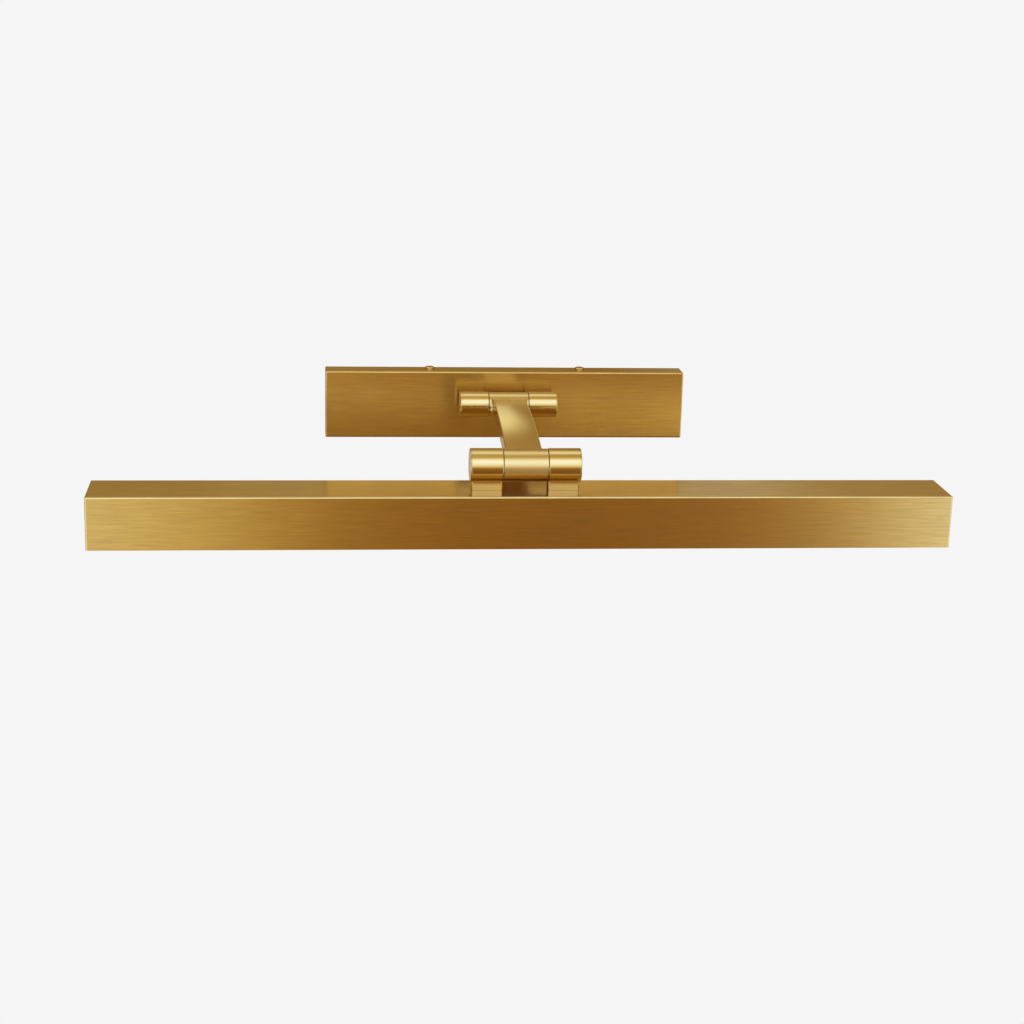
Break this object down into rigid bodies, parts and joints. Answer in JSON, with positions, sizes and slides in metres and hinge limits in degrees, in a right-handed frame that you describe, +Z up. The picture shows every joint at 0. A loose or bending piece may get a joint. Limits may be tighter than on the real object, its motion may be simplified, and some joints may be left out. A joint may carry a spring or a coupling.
{
  "type": "picture light",
  "caption": "Wall-mounted picture light with a long box shade on a short bowed arm, with a friction hinge at each end of the arm.",
  "frame": {"origin": "on the wall plane, at the centre of the wall plate's back and between the bracket's two slots", "axes": "+X along the shade, to the viewer's right; +Y into the wall; +Z up"},
  "size_m": [0.61, 0.1915, 0.0925],
  "materials": {
    "brushed_brass": "fine brushed, lacquered antique brass",
    "zinc_steel": "zinc plated",
    "dark_steel": "plain turned steel, lightly oiled",
    "aluminium": "mill finish extrusion",
    "nylon": "natural nylon",
    "black_rubber": "matt moulded rubber",
    "white_plastic": "moulded, fine satin",
    "white_solder_mask": "white solder mask",
    "board_green": "green solder mask with components",
    "led_phosphor": "yellow phosphor in a white package",
    "frosted_acrylic": "frosted opal",
    "lead_black": "satin PVC sleeve",
    "lead_grey": "satin PVC sleeve",
    "green_screw": "green dyed zinc plate"
  },
  "bodies": {
    "wall_plate": {"backplate_cover": "brushed_brass", "wall_bracket": "zinc_steel", "cover_screws": "brushed_brass", "ground_screw": "green_screw", "terminal_block": "white_plastic", "driver_case": "white_plastic", "driver_lid": "white_plastic", "driver_board": "board_green", "supply_leads": "lead_black", "plate_lead": "lead_grey", "plate_grommet": "black_rubber", "upper_left_knuckle": "brushed_brass", "upper_right_knuckle": "brushed_brass", "upper_left_cap": "brushed_brass", "upper_right_cap": "brushed_brass", "upper_foot_screws": "zinc_steel", "upper_pivot_bush": "dark_steel", "upper_friction_washers": "nylon"},
    "arm": {"arm_upper_barrel": "brushed_brass", "arm_bar": "brushed_brass", "arm_lower_barrel": "brushed_brass", "arm_lead": "lead_grey", "upper_pivot_screw": "dark_steel", "upper_wave_washer": "zinc_steel", "lower_pivot_screw": "dark_steel", "lower_wave_washer": "zinc_steel"},
    "shade": {"lower_friction_washers": "nylon", "lower_pivot_bush": "dark_steel", "lower_left_knuckle": "brushed_brass", "lower_right_knuckle": "brushed_brass", "lower_left_cap": "brushed_brass", "lower_right_cap": "brushed_brass", "lower_foot_screws": "zinc_steel", "shade_channel": "brushed_brass", "left_end_plate": "brushed_brass", "right_end_plate": "brushed_brass", "standoffs": "zinc_steel", "heat_sink": "aluminium", "heat_sink_screws": "zinc_steel", "led_board": "white_solder_mask", "led_chips": "led_phosphor", "diffuser": "frosted_acrylic", "shade_lead": "lead_grey", "shade_grommet": "black_rubber"}
  },
  "joints": [
    {"name": "arm_tilt", "type": "hinge", "parent": "wall_plate", "child": "arm", "pos_m": [0, -0.038, 0.005], "axis": [1, 0, 0], "range_deg": [-60, 45]},
    {"name": "shade_tilt", "type": "hinge", "parent": "arm", "child": "shade", "pos_m": [0, -0.168, -0.01], "axis": [1, 0, 0], "range_deg": [-90, 30]}
  ]
}
